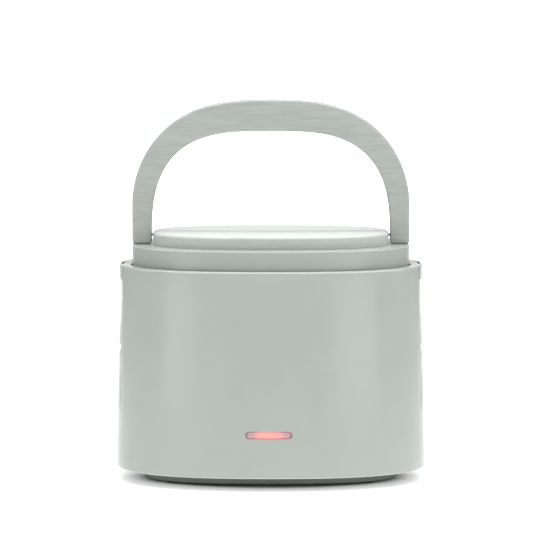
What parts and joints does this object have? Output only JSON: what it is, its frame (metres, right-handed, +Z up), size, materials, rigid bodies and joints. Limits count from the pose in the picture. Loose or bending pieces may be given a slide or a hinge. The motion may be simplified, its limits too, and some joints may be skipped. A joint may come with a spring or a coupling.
{
  "type": "electric lunch box",
  "caption": "Oval two-tier electric lunch box with a lift-off stepped lid, a folding arch handle, a swinging latch at each end, a light bar and stacked steel bowls.",
  "frame": {"origin": "on the standing surface under the middle of the housing", "axes": "+Z up, -Y towards the front with the light bar, +X to the right seen from the front"},
  "size_m": [0.234, 0.1412, 0.287],
  "materials": {
    "body": "satin moulded sage plastic",
    "wood_look": "satin sage plastic with a faint wood grain",
    "plinth": "dark grey-green moulded plastic",
    "feet": "matt rubber",
    "screws": "zinc-plated steel",
    "liner": "smooth pale plastic",
    "pan": "pressed aluminium",
    "pan_seal": "red silicone",
    "heater": "extruded aluminium case",
    "clamp": "spring steel",
    "thermostat": "phenolic",
    "fuse": "glazed ceramic",
    "inlet": "black moulded plastic",
    "pins": "nickel-plated",
    "brown_wire": "insulated wire",
    "blue_wire": "insulated wire",
    "red_wire": "insulated wire",
    "lens": "frosted light bar, emissive when lit",
    "board": "circuit board",
    "led": "surface-mounted lamp, emissive when lit",
    "silicone": "translucent silicone",
    "washer": "acetal friction washer",
    "bowl": "pressed stainless steel, satin inside",
    "bowl_lid": "frosted pale plastic"
  },
  "bodies": {
    "base": {"outer_housing": "body", "bottom_cover": "plinth", "rubber_feet": "feet", "bottom_screws": "screws", "inner_liner": "liner", "heating_pan": "pan", "pan_seal": "pan_seal", "ptc_heater": "heater", "heater_clamp": "clamp", "clamp_screws": "screws", "thermostat": "thermostat", "thermal_fuse": "fuse", "power_inlet": "inlet", "inlet_pins": "pins", "inlet_screws": "screws", "live_wire": "brown_wire", "neutral_wire": "blue_wire", "thermostat_lead": "brown_wire", "fuse_lead": "blue_wire", "led_wires": "red_wire", "indicator_lens": "lens", "led_board": "board", "leds": "led"},
    "lid": {"lid_cover": "body", "lid_top": "wood_look", "lid_liner": "liner", "lid_seal": "silicone", "lid_screws": "screws", "lid_top_screws": "screws", "handle_pins": "pins", "latch_pins": "pins"},
    "carry_handle": {"handle": "wood_look", "handle_washers": "washer"},
    "left_side_latch": {"left_latch": "body"},
    "right_side_latch": {"right_latch": "body"},
    "bowl_lower": {"lower_bowl": "bowl"},
    "bowl_lower_lid": {"lower_bowl_lid": "bowl_lid", "lower_lid_seal": "silicone"},
    "bowl_upper": {"upper_bowl": "bowl"},
    "bowl_upper_lid": {"upper_bowl_lid": "bowl_lid", "upper_lid_seal": "silicone"}
  },
  "joints": [
    {"name": "lid_lift", "type": "slide", "parent": "base", "child": "lid", "axis": [0, 0, 1], "range_m": [0, 0.3]},
    {"name": "handle_fold", "type": "hinge", "parent": "lid", "child": "carry_handle", "pos_m": [0, 0, 0.1851], "axis": [-1, 0, 0], "range_deg": [0, 90]},
    {"name": "left_latch_swing", "type": "hinge", "parent": "lid", "child": "left_side_latch", "pos_m": [-0.1094, 0, 0.1606], "axis": [0, 1, 0], "range_deg": [0, 90]},
    {"name": "right_latch_swing", "type": "hinge", "parent": "lid", "child": "right_side_latch", "pos_m": [0.1094, 0, 0.1606], "axis": [0, -1, 0], "range_deg": [0, 90]},
    {"name": "lower_bowl_lift", "type": "slide", "parent": "base", "child": "bowl_lower", "axis": [0, 0, 1], "range_m": [0, 0.15]},
    {"name": "lower_bowl_lid_lift", "type": "slide", "parent": "bowl_lower", "child": "bowl_lower_lid", "axis": [0, 0, 1], "range_m": [0, 0.03]},
    {"name": "upper_bowl_lift", "type": "slide", "parent": "base", "child": "bowl_upper", "axis": [0, 0, 1], "range_m": [0, 0.21]},
    {"name": "upper_bowl_lid_lift", "type": "slide", "parent": "bowl_upper", "child": "bowl_upper_lid", "axis": [0, 0, 1], "range_m": [0, 0.03]}
  ],
  "couplings": [
    {"joint": "lower_bowl_lift", "follows": "lid_lift", "ratio": 0.5},
    {"joint": "lower_bowl_lid_lift", "follows": "lid_lift", "ratio": 0.1},
    {"joint": "upper_bowl_lift", "follows": "lid_lift", "ratio": 0.7},
    {"joint": "upper_bowl_lid_lift", "follows": "lid_lift", "ratio": 0.1}
  ]
}
